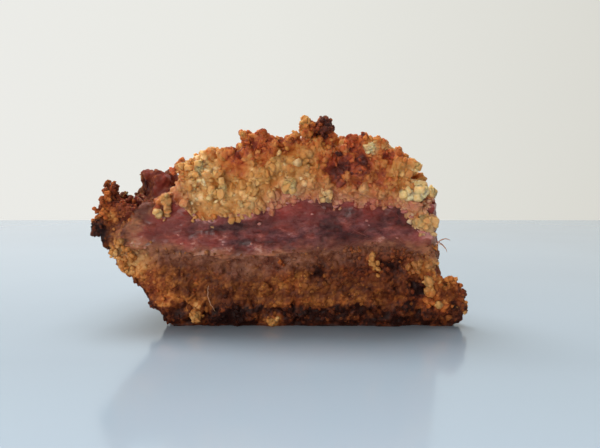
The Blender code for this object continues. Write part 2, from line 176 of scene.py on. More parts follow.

# Pale beads of pulp on the fruit's cut face, set where it glints and drawn palest as painted highlights: x,
# y, z and radius
PULP_BEADS_AND_GLINTS = (
    (-26.6, -33.5, 22.6, 0.45), (-27.6, -33.5, 25.4, 0.35), (-13.4, -33.5, 21.2, 0.4),
    (-18.6, -33.5, 21.8, 0.3), (-8.1, -33.5, 23.7, 0.35), (-15.6, -33.5, 22.6, 0.26),
    (-5.7, -33.5, 28.6, 0.6), (-3, -33.8, 33, 0.7), (23.3, -33.5, 29.2, 0.42), (23.6, -33.5, 27.6, 0.3),
    (27.7, -33.5, 24.8, 0.42), (31.4, -33.5, 24, 0.3), (39.6, -33, 25.6, 0.6), (8.6, -33.5, 31.4, 0.4),
    (-22.4, -33.5, 21.4, 0.3), (-36.2, -33.5, 21.8, 0.34),
)

# Where the fruit is paler, or darker where the amount is less than 0
FRUIT_SPOTS = (
    (-40.5, -32, 24.5, 4, 0.2), (-35, -32, 22, 3.6, 0.12), (-31, -32, 29.5, 2.2, -0.24),
    (-21.5, -32, 20.5, 2, 0.3), (-14.8, -32, 24, 1.8, 0.2), (-10, -32, 29.5, 4, -0.22),
    (2, -32, 31, 2.4, -0.2), (23.5, -32, 28.4, 1.5, 0.2), (18, -32, 27, 2, 0.12),
    (-2, -32, 26, 2.4, 0.16), (27.6, -32, 24.8, 1.6, 0.26), (10, -32, 24.5, 2.6, -0.16),
    (-25, -32, 26, 2, -0.16), (-5, -32, 21.5, 2.4, 0.18), (33, -32, 30, 3, -0.14),
    (-31, -32, 27, 7, -0.08), (20, -32, 27, 9, -0.12), (42, -30, 24, 3, 0.5), (42.5, -30, 32.5, 2, 0.4),
)

# Where the fruit's edge is drawn over the crust, by so many millimetres
SMEARED_SPOTS = (
    (-40.5, -32, 24.5, 2.4, 3.4), (-36.5, -32, 31, 3.2, 2.8), (-34.5, -31.5, 35, 2.6, 2.4),
    (37.5, -32, 19.5, 2.4, 2), (-14, -32, 19, 3, 1), (16.5, -32, 18.5, 1.6, 2.2),
)

# Where the crust is darker, or paler where the amount is less than 0; the dark spots at 38.2, -32, 10.2 and
# 46.4, -31.5, 8.6 are painted shade, in a hole and on the foot's shaded side
CRUST_SPOTS = (
    (-42.5, -32, 21, 4.4, -0.78), (-38, -32, 18.5, 3, -0.3), (-46.5, -31, 29.5, 2.4, -0.24),
    (-50.4, -31, 25.8, 2.4, 0.4), (-48.2, -31, 28, 2.3, 0.5), (-47, -31.5, 24.4, 1.6, 0.4),
    (-47, -31, 35, 3, -0.06), (-44, -31, 31, 2.4, 0.06), (38.2, -32, 10.2, 1.7, 0.95),
    (40.6, -32, 7, 1.6, -0.26), (40.6, -32, 11, 1.5, -0.4), (40.9, -32.6, 17, 2.2, -0.7),
    (36, -32, 16.6, 1.8, -0.36), (25.3, -32.5, 19.2, 1.4, -0.5), (26, -32.5, 16.2, 1.3, -0.4),
    (46, -31, 13, 2.4, -0.42), (46.4, -31.5, 8.6, 2.2, 0.1), (50, -31, 5, 1.6, -0.4),
    (49, -31, 9, 1.4, 0.3), (-22.6, -33.5, 3.6, 2.2, -1), (-2.2, -33.5, 1.6, 2, -1),
    (-31, -33.5, 6, 1.8, -0.4), (9.8, -32, 15.8, 1.7, 0.6), (-3, -32.5, 18, 1.7, 0.24),
    (6, -32, 13.5, 1.8, -0.26), (31, -32, 14, 6, 0.16), (24, -32, 19, 5, 0.22), (-34, -32, 12, 4, -0.1),
    (-12, -32, 10.5, 6, -0.06), (45.6, -32, 4.4, 2.2, -0.42), (-14, -32, 3.4, 5.5, 0.36),
)

# Where the crust is red instead of brown
CRUST_RED_SPOTS = (
    (-47, -31, 34, 4, 0.6), (-3, -32.5, 18, 1.8, 1.4), (30, -32, 18, 5, 0.5), (-36, -31, 8, 5, 0.5),
    (46, -31, 10, 5, 0.2), (40.5, -32, 7, 2.5, 0.5), (-42, -31, 36, 4, 0.5),
)

# Notches and hollows in the outline: how far the surface is drawn in, in millimetres
CRUMBLE_HOLLOWS = (
    (39, -31, 41, 2.3, 4.2), (39.6, -26, 41, 2.3, 3.6), (16.4, -31, 53.4, 1.9, 2.8),
    (-28.5, -30, 46.5, 2, 1.2), (-11.8, -30, 50.5, 1.6, 1.2), (2.6, -31, 53.6, 1.6, 1),
    (28.4, -30, 50.6, 1.6, 1),
)
CRUST_HOLLOWS = (
    (-40, -31, 37.4, 2.1, 3.6), (-41.4, -26, 37.4, 2.3, 3.2), (-43, -20.5, 37, 2.5, 3),
    (-44.4, -15.5, 37, 2.4, 2.4), (-48.8, -31.5, 38.8, 1.4, 1.4), (-45.6, -32, 20.5, 1.6, 1),
    (46.6, -31, 12.5, 1.6, 1),
)

# Lumps that are told apart in the photo: x, y, z of the middle, how many grains, how far they lie
# from it, grain radius, toast, juice, red
CRUMBLE_LUMPS = (
    (12.1, -31.6, 54.2, 60, 2.5, 0.8, 0.93, 0, 0.1), (6.8, -31.6, 55.3, 8, 0.9, 1, 0.34, 0, 0.15),
    (2.7, -33, 38.6, 16, 1.6, 1.3, 0.03, 0, 0), (23.6, -32.8, 48.6, 7, 1, 1.1, -0.08, 0, 0),
    (34.6, -32.6, 37, 8, 1.3, 1.7, -0.08, 0, 0), (37.6, -32.4, 36.9, 8, 1.3, 1.8, -0.1, 0, 0),
    (40.4, -31.8, 37, 11, 1.4, 1.2, -0.06, 0, 0), (38.8, -32.4, 29.2, 14, 2.2, 1.4, 0.06, 0.1, 0.1),
    (42, -31, 32.4, 1, 0.1, 0.8, 0.95, 0, 1), (15.4, -33.2, 47.2, 5, 0.6, 0.6, 0.98, 0, 0.6),
    (36.4, -31.4, 43.8, 9, 1.2, 0.9, 0.04, 0, 0), (-30.5, -33.8, 35.4, 5, 1.1, 1.2, 0.14, 0, 0.35),
    (-32.5, -34, 31.4, 3, 0.4, 1.2, 0.04, 0.05, 0.1), (-29.8, -33.8, 33, 4, 0.9, 1.2, 0.14, 0.1, 0.4),
    (-25.6, -33.4, 34, 6, 1.4, 1.1, 0.22, 0.35, 0.5), (-26.8, -31, 45.2, 4, 0.7, 0.9, 0.5, 0, 0.6),
    (-8, -33.6, 33.6, 8, 1.2, 0.9, 0.06, 0.15, 0), (12, -33.4, 35.6, 8, 1.4, 0.9, 0, 0.3, 0),
    (-22, -33, 43, 14, 2, 1.1, 0.06, 0, 0), (-16.5, -33, 37.5, 12, 2.2, 1.1, 0.08, 0, 0),
    (42.2, -30.6, 28.6, 5, 1.2, 0.8, 0, 0.2, 0), (-1.6, -33, 44, 10, 1.8, 1.1, 0.24, 0, 0.1),
)
CRUST_LUMPS = (
    (-22.8, -34.4, 3.4, 18, 1.5, 0.75, 0.02, 0, 0.1), (-2.4, -34.4, 1.7, 12, 1.3, 0.6, 0.05, 0, 0.1),
    (-43, -33, 23, 12, 2.2, 0.9, -0.06, 0.1, 0.3), (-40.5, -33, 19, 10, 1.8, 0.8, 0.04, 0, 0.2),
    (25.2, -34, 19, 6, 0.9, 0.8, 0.02, 0, 0.1), (25.8, -34, 15.9, 5, 0.8, 0.7, 0.08, 0, 0.1),
    (40, -33, 12.8, 9, 1.1, 1.1, -0.1, 0, 0.1), (40.5, -33, 9.8, 8, 1.1, 1.1, -0.02, 0, 0.4),
    (43, -33, 6.2, 6, 0.9, 0.8, -0.16, 0, 0.1), (41.2, -33, 16.8, 8, 1.4, 0.8, 0.06, 0.5, 0.1),
    (42.6, -30.6, 23.2, 4, 0.7, 0.55, 0.06, 0.1, 0.2), (40.8, -33, 6.8, 8, 1.3, 0.9, 0.2, 0, 0.7),
    (36.4, -33.2, 16.4, 9, 1.8, 0.8, 0.08, 0.4, 0.2), (-46.8, -33, 31, 7, 1.3, 0.8, 0.16, 0, 0.9),
    (-46.2, -33, 36, 7, 1.3, 0.8, 0.26, 0, 0.9), (-47.8, -32.4, 36.2, 12, 1.7, 0.8, 0.36, 0, 0.8),
    (-48.8, -32, 31, 8, 1.3, 0.8, 0.24, 0, 0.8), (-47.2, -32.4, 39.6, 6, 0.9, 0.7, 0.46, 0, 0.8),
    (-50, -31.6, 26.4, 6, 1.1, 0.9, 0.84, 0, 0.5), (-44.6, -33.2, 20.2, 9, 1.8, 0.8, -0.12, 0, 0.2),
    (-41.5, -33.2, 17, 8, 1.6, 0.8, 0, 0, 0.2), (50.3, -31.5, 4.6, 6, 1.1, 0.8, -0.16, 0, 0.1),
    (49.8, -31.6, 8.8, 2, 0.4, 1.2, 0.82, 0, 0.3), (46.4, -31.8, 12.6, 9, 1.7, 0.9, 0.04, 0, 0.5),
    (0, -33.6, 17.6, 5, 0.8, 0.6, 0.46, 0, 1), (20, -33.4, 20.8, 8, 3, 0.6, 0.38, 0.3, 0.5),
    (32, -33.4, 20, 12, 3.6, 0.6, 0.44, 0.2, 0.6),
)

# Glassy lumps of sugar and butter: middle and radius
SUGAR_LUMPS = (
    ((4.8, -34.4, 44.6), 1.1), ((23.4, -34.0, 49.0), 1.2), ((24.6, -34.2, 47.8), 0.8),
    ((-8.0, -34.2, 33.2), 0.8), ((-10.6, -34.2, 35.0), 0.7), ((40.9, -31.4, 25.4), 0.9),
)

# Fibres that stand out: both ends, the way that the middle bows, thickness, paleness
WISPS = (
    (((41.4, -30.0, 20.5), (46.8, -29.0, 23.4)), (0.0, 0.0, 1.6), 0.16, 0.75),
    (((42.0, -30.0, 22.6), (45.6, -30.6, 20.4)), (0.6, 0.0, 0.7), 0.12, 0.9),
    (((41.0, -29.0, 22.0), (46.0, -28.0, 21.0)), (0.0, 0.0, 1.4), 0.14, 0.6),
    (((41.2, -30.0, 18.0), (43.0, -29.0, 24.0)), (1.0, 0.0, 0.2), 0.20, 0.5),
    (((42.4, -30.0, 10.5), (41.8, -29.6, 18.5)), (0.9, 0.0, 0.0), 0.26, 0.35),
    (((-19.4, -33.6, 11.8), (-17.6, -34.0, 4.6)), (-0.9, -0.2, 0.0), 0.10, 1.0),
    (((-25.5, -33.0, 32.0), (-24.6, -33.6, 38.0)), (0.5, -0.2, 0.0), 0.09, 0.9),
)

# Display colours by toast, from raw dough or sugar to charred
PALEST = -0.3
CRUMBLE_COLOURS = (
    (PALEST, 251, 228, 188), (-0.10, 236, 195, 136), (0.05, 213, 161, 99), (0.18, 198, 145, 84),
    (0.32, 194, 137, 74), (0.48, 192, 122, 57), (0.62, 170, 95, 43), (0.78, 134, 60, 30),
    (0.90, 94, 42, 27), (1.00, 66, 36, 31),
)
CRUMBLE_REDS = (
    (PALEST, 222, 186, 152), (0.00, 212, 156, 108), (0.20, 204, 132, 82), (0.40, 192, 104, 55),
    (0.60, 166, 74, 38), (0.80, 118, 44, 26), (1.00, 70, 28, 22),
)
CRUST_COLOURS = (
    (PALEST, 214, 170, 112), (0.00, 192, 134, 74), (0.18, 162, 102, 50), (0.40, 122, 70, 33),
    (0.60, 94, 48, 23), (0.80, 63, 27, 15), (1.00, 35, 13, 8),
)
CRUST_REDS = (
    (PALEST, 216, 148, 88), (0.00, 204, 122, 62), (0.20, 176, 92, 42), (0.40, 134, 62, 30),
    (0.60, 100, 42, 23), (0.80, 62, 25, 16), (1.00, 31, 12, 10),
)

# Display colours by paleness, for crumbs soaked with juice, and for red, mauve and crumbly fruit
CRUMBLE_JUICE = ((0.36, 156, 80, 72), (0.64, 198, 130, 116))
CRUST_JUICE = ((0.36, 88, 46, 32), (0.64, 148, 99, 79))
FRUIT_REDS = (
    (0.00, 52, 15, 11), (0.25, 80, 25, 18), (0.48, 106, 40, 32), (0.66, 127, 57, 47),
    (0.82, 154, 85, 74), (1.00, 198, 150, 138),
)
FRUIT_MAUVES = (
    (0.00, 48, 20, 22), (0.25, 72, 34, 36), (0.48, 96, 53, 55), (0.66, 116, 71, 72),
    (0.82, 146, 98, 98), (1.00, 196, 160, 158),
)
FRUIT_BROWNS = ((0.30, 108, 62, 48), (0.90, 164, 106, 74))
FIBRE_COLOURS = ((0.0, 94, 36, 30), (0.5, 134, 68, 56), (1.0, 196, 156, 128))
SUGAR_COLOURS = ((0.3, 184, 138, 82), (0.7, 210, 180, 134))
# Glow of the backdrop from left to right: painted light, brighter on the left
WALL_GLOW_COLOURS = ((0.0, 240, 240, 236), (0.45, 236, 236, 230), (1.0, 220, 219, 211))

# Scene-linear colours of the floor: two that wander, and a paler one near the camera that is painted light
FLOOR_COLOURS = ((0.320, 0.408, 0.508, 1.0), (0.340, 0.434, 0.540, 1.0), (0.400, 0.505, 0.625, 1.0))


def linear(red, green, blue):
    """Scene-linear colour from 0 to 255 display values."""
    values = []
    for value in (red, green, blue):
        share = value / 255.0
        values.append(share / 12.92 if share <= 0.04045 else ((share + 0.055) / 1.055) ** 2.4)
    return (*values, 1.0)


# Fields: numbers over an array of points in millimetres

def waves(points, scale, shift=0.0):
    """Smooth noise from -1 to 1; scale is one number or one for each axis."""
    return np.array([noise.noise(Vector(point)) for point in points * np.asarray(scale) + shift])


def cells(points, size, shift=0.0):
    """For each point its rounded grain's height, distance from a crease, number and way to its middle."""
    heights = np.empty(len(points))
    creases = np.empty(len(points))
    numbers = np.empty(len(points))
    ways = np.empty((len(points), 3))
    for index, point in enumerate(points / size + shift):
        distances, centres = noise.voronoi(Vector(point))
        heights[index] = 1.0 - min(1.0, distances[0] / 0.66) ** 2
        creases[index] = min(1.0, (distances[1] - distances[0]) / 0.22)
        centre = centres[0]
        mark = math.sin(centre.x * 12.9898 + centre.y * 78.233 + centre.z * 37.719) * 43758.5
        numbers[index] = mark % 1.0
        ways[index] = centre
    return heights, creases, numbers, (ways - points / size - shift) * size


def wander(points, scale, amount):
    """The points, moved by smooth noise that bends the patterns read at them."""
    return points + amount * np.stack([waves(points, scale, 7.3 * axis) for axis in range(3)], axis=1)


def patches(points, table):
    """Sum of soft spots."""
    total = np.zeros(len(points))
    for x, y, z, radius, amount in table:
        distance = ((points - (x, y, z)) ** 2).sum(axis=1)
        total += amount * np.exp(-distance / (2.0 * radius * radius))
    return total


def rise(values, low, high):
    """0 below low, 1 above high, smooth between."""
    share = np.clip((values - low) / (high - low), 0.0, 1.0)
    return share * share * (3.0 - 2.0 * share)


def dish_radius(points):
    return np.hypot(points[:, 0] - DISH_MIDDLE[0], points[:, 1] - DISH_MIDDLE[1])


def behind(points):
    """0 on the front cut face, 1 behind it, where the photo doesn't show the spots."""
    return rise(points[:, 1], -28.0, -21.0)


def crumble_toast(points):
    toast = 0.32 + 0.005 * (points[:, 2] - 42.0)
    toast += 0.22 * waves(points, 0.13) + 0.26 * waves(points, 0.34, 4.0)
    toast += behind(points) * (0.04 + 0.24 * waves(points, 0.085, 22.0) + 0.20 * waves(points, 0.24, 23.0))
    return toast + patches(points, TOASTED_SPOTS)


def crumble_red(points):
    """0 where the crumble is golden, 1 where it is red."""
    spots = rise(waves(points, 0.11, 14.0) + 0.5 * waves(points, 0.4, 2.0), 0.0, 0.5)
    spots *= 0.30 + 0.40 * behind(points)
    return np.clip(spots * rise(points[:, 2], 38.0, 46.0) + patches(points, RED_SPOTS), 0.0, 1.0)


def crumble_juice(points):
    near_fruit = 1.0 - rise(points[:, 2] + 2.4 * waves(points, 0.3, 9.0), 33.0, 37.0)
    near_fruit *= 0.3 + 0.7 * rise(points[:, 0], -12.0, 0.0)
    return np.clip(0.40 * near_fruit + patches(points, JUICE_SPOTS), 0.0, 1.0)


def crust_toast(points):
    height = points[:, 2]
    wobble = waves(points, 0.22, 3.0)
    ragged = height + 1.8 * wobble + 1.6 * waves(points, 0.5, 41.0)
    # Dark band at the bottom: burnt, and also drawn darker as painted shade of the recessed underside
    burnt_and_shaded = 1.0 - rise(ragged, 5.0, 6.4)
    burnt_and_shaded *= 1.0 - 0.4 * rise(waves(points, 0.42, 51.0), 0.16, 0.40)
    # Paler line along the band's upper edge: a painted highlight
    painted_highlight_line = np.exp(-((ragged - 7.6) / 1.0) ** 2)
    side = np.interp(height, (0.0, 8.0, 13.0, 17.3, 21.0, 25.0, 40.0),
                     (82.6, 88.9, 92.6, 97.2, 99.8, 101.2, 100.5))
    skin = rise(dish_radius(points) - side + 1.2 * wobble, -2.4, -0.2)
    skin *= 0.92 - 0.46 * rise(height, 24.0, 31.0)
    rim = rise(height, 26.0, 32.0) * 0.08
    toast = 0.42 + 0.20 * wobble + 0.16 * waves(points, 0.5, 6.0) + rim - 0.12 * painted_highlight_line
    return np.maximum(toast, np.maximum(burnt_and_shaded * 0.92, skin)) + patches(points, CRUST_SPOTS)


def crust_red(points):
    """0 where the crust is brown, 1 where it is red."""
    spots = rise(waves(points, 0.16, 33.0) + 0.6 * waves(points, 0.6, 2.0), 0.0, 0.5)
    return np.clip(0.10 + 0.35 * spots + patches(points, CRUST_RED_SPOTS), 0.0, 1.0)


def crust_juice(points):
    """Grey-mauve band under the fruit, fading away from it."""
    gap = node_gaps(points, (FRUIT,))[:, FRUIT]
    gap += 1.8 * waves(points, (0.10, 0.10, 0.25), 2.0) + 1.0 * waves(points, 0.5, 7.0)
    depth = np.interp(points[:, 0], (-45.0, -30.0, -10.0, 15.0, 32.0, 45.0), (3.6, 4.6, 6.0, 4.2, 1.8, 6.2))
    return (1.0 - rise(gap, depth - 3.0, depth + 1.6)) * (1.0 - rise(points[:, 2], 27.0, 30.0))


def crust_stain(points):
    """Dark red juice that boiled over the inside of the rim."""
    inner = 1.0 - rise(dish_radius(points) + 1.5 * waves(points, 0.3, 4.0), 94.0, 98.5)
    inner *= 0.45 + 0.55 * rise(points[:, 1], -29.0, -24.0)
    inner *= 0.35 + 0.65 * rise(waves(points, 0.17, 35.0), -0.25, 0.25)
    return inner * rise(points[:, 2], 25.0, 28.0)


# Meshes

def unit(rows):
    """Each row, or one vector, scaled to length 1."""
    return rows / np.maximum(np.linalg.norm(rows, axis=-1, keepdims=True), 1e-9)


def mesh_vectors(mesh, kind):
    values = np.empty(len(mesh.vertices) * 3, np.float32)
    mesh.vertices.foreach_get(kind, values)
    return values.reshape(-1, 3).astype(float)


def mesh_points(mesh):
    """The vertices' places in millimetres."""
    return mesh_vectors(mesh, "co") / MM


def mesh_normals(mesh):
    return mesh_vectors(mesh, "normal")


def set_number(mesh, name, values):
    """Store a number on each vertex for the material to read."""
    layer = mesh.attributes.get(name) or mesh.attributes.new(name, "FLOAT", "POINT")
    layer.data.foreach_set("value", np.asarray(values, np.float32))


def set_grain_numbers(mesh, grains, **numbers):
    """Store numbers that are one value, or an array with one value for each grain."""
    for name, values in numbers.items():
        set_number(mesh, name, np.broadcast_to(values, grains.max() + 1)[grains])


def new_mesh(name, points, faces):
    """A mesh from corners in millimetres."""
    mesh = bpy.data.meshes.new(name)
    mesh.from_pydata((np.asarray(points) * MM).tolist(), [], faces)
    mesh.update()
    return mesh


def new_object(name, data):
    made = bpy.data.objects.new(name, data)
    bpy.context.scene.collection.objects.link(made)
    return made


def add_piece(name, mesh, material):
    piece = new_object(name, mesh)
    mesh.materials.clear()
    mesh.materials.append(material)
    if not mesh.has_custom_normals:
        mesh.shade_smooth()
    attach(piece, "root")
    return piece


def fused_skin():
    """One even, fine skin over all the CAD layers with its facets rounded off: points, normals, faces."""
    joined = bmesh.new()
    for node in LAYERS:
        joined.from_mesh(frame["nodes"][node].data)
    mesh = bpy.data.meshes.new("helper")
    joined.to_mesh(mesh)
    joined.free()
    helper = new_object("helper", mesh)
    remesh = helper.modifiers.new("Remesh", "REMESH")
    remesh.mode = "VOXEL"
    remesh.voxel_size = SKIN_VOXEL * MM
    smooth = helper.modifiers.new("Smooth", "SMOOTH")
    smooth.factor = 0.5
    smooth.iterations = SKIN_SMOOTHING
    bpy.context.view_layer.update()
    skin = bpy.data.meshes.new_from_object(helper.evaluated_get(bpy.context.evaluated_depsgraph_get()))
    bpy.data.objects.remove(helper)
    corners = np.empty(len(skin.loops), np.int32)
    skin.loops.foreach_get("vertex_index", corners)
    outside = keep_outside(mesh_points(skin), mesh_normals(skin), corners.reshape(-1, 4))
    bpy.data.meshes.remove(skin)
    return outside


def face_edges(faces):
    return np.concatenate([faces[:, (side, (side + 1) % 4)] for side in range(4)])


def keep_outside(points, normals, faces):
    """Drop everything but the largest connected part, which is the outside."""
    edges = face_edges(faces)
    labels = np.arange(len(points))
    while True:
        low = np.minimum(labels[edges[:, 0]], labels[edges[:, 1]])
        lower = labels.copy()
        np.minimum.at(lower, edges[:, 0], low)
        np.minimum.at(lower, edges[:, 1], low)
        lower = lower[lower]
        if (lower == labels).all():
            break
        labels = lower
    kept = labels == np.bincount(labels).argmax()
    renumbered = np.cumsum(kept) - 1
    return points[kept], normals[kept], renumbered[faces[kept[faces[:, 0]]]]


def node_gaps(points, columns=(CRUMBLE, FRUIT, CRUST)):
    """Distance in millimetres from each point to the CAD layers' surfaces, up to a limit."""
    gaps = np.full((len(points), len(LAYERS)), GAP_LIMIT)
    for column in columns:
        for index, point in enumerate(points):
            distance = node_trees[column].find_nearest(Vector(point * MM), GAP_LIMIT * MM)[3]
            if distance is not None:
                gaps[index, column] = distance / MM
    return gaps


def choose_layers(points):
    """The layer of each point: whole grains for the crumble, a soft ragged line between the others."""
    gaps = node_gaps(points)
    gaps[:, FRUIT] += 0.9 * waves(points, 0.30, 61.0) + 0.5 * waves(points, 0.9, 62.0)
    gaps[:, FRUIT] -= patches(points, SMEARED_SPOTS)
    layers = np.where(gaps[:, FRUIT] < gaps[:, CRUST], FRUIT, CRUST)
    ways = cells(wander(points, 0.5, 0.6), 1.15 * CRUMBLE_GRAIN, 71.0)[3]
    grain_gaps = node_gaps(points + ways)
    layers[grain_gaps[:, CRUMBLE] < grain_gaps[:, (FRUIT, CRUST)].min(axis=1)] = CRUMBLE
    return layers


def soften(shares, edges, rounds):
    """Average each point's shares with its neighbours' a few times."""
    count = len(shares)
    degree = np.bincount(edges[:, 0], minlength=count) + np.bincount(edges[:, 1], minlength=count)
    for _ in range(rounds):
        totals = np.empty_like(shares)
        for column in range(shares.shape[1]):
            values = shares[:, column]
            totals[:, column] = np.bincount(edges[:, 0], values[edges[:, 1]], count)
            totals[:, column] += np.bincount(edges[:, 1], values[edges[:, 0]], count)
        shares = 0.4 * shares + 0.6 * totals / degree[:, None]
    return shares


def spread(points, wanted, spacing, keep, rng):
    """Indices of randomly chosen points, none nearer to another than the spacing."""
    taken = {}
    found = []
    for index in rng.permutation(len(points)):
        if len(found) >= wanted:
            break
        if not keep[index]:
            continue
        point = points[index]
        key = tuple(np.floor(point / spacing).astype(int))
        crowded = False
        for step in np.ndindex(3, 3, 3):
            for other in taken.get((key[0] + step[0] - 1, key[1] + step[1] - 1, key[2] + step[2] - 1), ()):
                if ((other - point) ** 2).sum() < spacing * spacing:
                    crowded = True
        if not crowded:
            taken.setdefault(key, []).append(point)
            found.append(index)
    return np.array(found)


def grain_shapes(count, subdivisions, seed):
    """Broken, blunt-edged lumps of about unit radius: corner arrays, and the faces they share."""
    rng = np.random.default_rng(seed)
    shapes = []
    for number in range(count):
        lump = bmesh.new()
        bmesh.ops.create_icosphere(lump, subdivisions=subdivisions, radius=1.0)
        sides = unit(rng.normal(size=(11, 3)))
        depths = rng.uniform(0.60, 1.0, len(sides))
        shift = Vector((seed, number * 3.7, 1.3))
        for vert in lump.verts:
            toward = np.maximum(sides @ np.array(vert.co), 0.05)
            reach = min(1.15, (depths / toward).min())
            rough = 0.16 * noise.noise(vert.co * 2.3 + shift) + 0.14 * noise.noise(vert.co * 5.1 + shift)
            vert.co *= reach * (1.0 + rough)
        shapes.append(np.array([vert.co for vert in lump.verts]))
        faces = np.array([[vert.index for vert in face.verts] for face in lump.faces])
        lump.free()
    return shapes, faces


def random_turns(count, rng):
    """Random rotation matrices, from unit quaternions."""
    w, x, y, z = unit(rng.normal(size=(count, 4))).T
    rows = [[1 - 2 * (y * y + z * z), 2 * (x * y - z * w), 2 * (x * z + y * w)],
            [2 * (x * y + z * w), 1 - 2 * (x * x + z * z), 2 * (y * z - x * w)],
            [2 * (x * z - y * w), 2 * (y * z + x * w), 1 - 2 * (x * x + y * y)]]
    return np.array(rows).transpose(2, 0, 1)


def grain_mesh(name, centres, radii, level, seed, rng, flat=None, kinds=12):
    """One mesh of many grains, turned at random or kept level; returns it with each corner's grain."""
    shapes, faces = grain_shapes(kinds, level, seed)
    count = len(centres)
    turns = random_turns(count, rng)
    stretch = rng.uniform(0.75, 1.25, (count, 3))
    picks = rng.integers(0, len(shapes), count)
    corners = []
    for centre, size, turn, wide, pick in zip(centres, radii, turns, stretch, picks):
        if flat is None:
            corners.append((shapes[pick] * wide) @ turn.T * size + centre)
        else:
            corners.append((shapes[pick] @ turn.T) * wide * flat * size + centre)
    each = len(shapes[0])
    all_faces = (faces[None, :, :] + (np.arange(count) * each)[:, None, None]).reshape(-1, 3)
    return new_mesh(name, np.concatenate(corners), all_faces.tolist()), np.repeat(np.arange(count), each)


def surface_tree(piece):
    """Search tree over a piece's faces."""
    return BVHTree.FromObject(piece, bpy.context.evaluated_depsgraph_get())


def near_surface(points, tree, distance):
    """Whether each point is within a distance of a piece's surface."""
    return np.array([tree.find_nearest(Vector(point * MM), distance * MM)[0] is not None for point in points])


def in_open_air(points, normals, trees, candidates):
    """Whether a short way out from each candidate point meets none of the pieces."""
    clear = np.zeros(len(points), bool)
    for index in np.flatnonzero(candidates):
        start = Vector((points[index] + normals[index] * 0.3) * MM)
        along = Vector(normals[index])
        clear[index] = all(tree.ray_cast(start, along, CLEAR_AIR * MM)[0] is None for tree in trees)
    return clear


# Materials

class Graph:
    """Short names for building one material's nodes."""

    def __init__(self, name):
        self.material = bpy.data.materials.new(name)
        self.material.use_nodes = True
        self.tree = self.material.node_tree

    def node(self, kind, output, inputs, **settings):
        """One output of a new node, its inputs linked to sockets or set to numbers and colours."""
        made = self.tree.nodes.new("ShaderNode" + kind)
        for key, value in settings.items():
            setattr(made, key, value)
        self.feed(made, inputs)
        return made.outputs[output]

    def feed(self, node, inputs):
        for key, value in inputs.items():
            if isinstance(value, (int, float, tuple)):
                node.inputs[key].default_value = value
            else:
                self.tree.links.new(value, node.inputs[key])

    def number(self, name):
        return self.node("Attribute", "Fac", {}, attribute_name=name)

    def place(self, *stretch):
        """Coordinates in millimetres, stretched along the axes."""
        scale = tuple(1000.0 * value for value in stretch or (1.0, 1.0, 1.0))
        return self.node("Mapping", "Vector", {"Vector": self.node("TexCoord", "Object", {}), "Scale": scale})

    def noise(self, where, scale=1.0, detail=3.0, roughness=0.6):
        inputs = {"Vector": where, "Scale": scale, "Detail": detail, "Roughness": roughness}
        return self.node("TexNoise", "Fac", inputs)

    def maths(self, operation, first, second, clamp=False):
        return self.node("Math", "Value", {0: first, 1: second}, operation=operation, use_clamp=clamp)

    def total(self, first, *others, clamp=False):
        for other in others[:-1]:
            first = self.maths("ADD", first, other)
        return self.maths("ADD", first, others[-1], clamp)

    def product(self, first, second):
        """Two values multiplied, kept from 0 to 1."""
        return self.maths("MULTIPLY", first, second, clamp=True)

    def veins(self, where, sharpness):
        """Thin wandering lines: 1 along the middle of a noise, 0 away from it."""
        off = self.maths("ABSOLUTE", self.maths("SUBTRACT", self.noise(where, 1.0, 4.0, 0.65), 0.5), 0.0)
        return self.maths("SUBTRACT", 1.0, self.product(off, 2.0 * sharpness), clamp=True)

    def spread(self, value, low, high, start=0.0, end=1.0):
        """A value from start to end, remapped to a range."""
        inputs = {"Value": value, "From Min": start, "From Max": end, "To Min": low, "To Max": high}
        return self.node("MapRange", "Result", inputs)

    def along(self, axis, start, end):
        """0 at one place on an axis, in millimetres, and 1 at the other."""
        return self.spread(self.node("SeparateXYZ", axis, {"Vector": self.place()}), 0.0, 1.0, start, end)

    def ramp(self, value, stops, start=0.0):
        """Display colours at stops from start to 1."""
        if start:
            value = self.maths("DIVIDE", self.maths("SUBTRACT", value, start), 1.0 - start, clamp=True)
        made = self.tree.nodes.new("ShaderNodeValToRGB")
        elements = made.color_ramp.elements
        while len(elements) < len(stops):
            elements.new(0.5)
        for element, (position, *colour) in zip(elements, stops):
            element.position = (position - start) / (1.0 - start)
            element.color = linear(*colour)
        self.feed(made, {"Fac": value})
        return made.outputs["Color"]

    def mix(self, share, first, second):
        return self.node("Mix", 2, {0: share, 6: first, 7: second}, data_type="RGBA")

    def bump(self, height, strength, distance, under=None):
        inputs = {"Height": height, "Strength": strength, "Distance": distance * MM}
        if under:
            inputs["Normal"] = under
        return self.node("Bump", "Normal", inputs)

    def finish(self, inputs):
        self.feed(self.tree.nodes["Principled BSDF"], inputs)
        return self.material


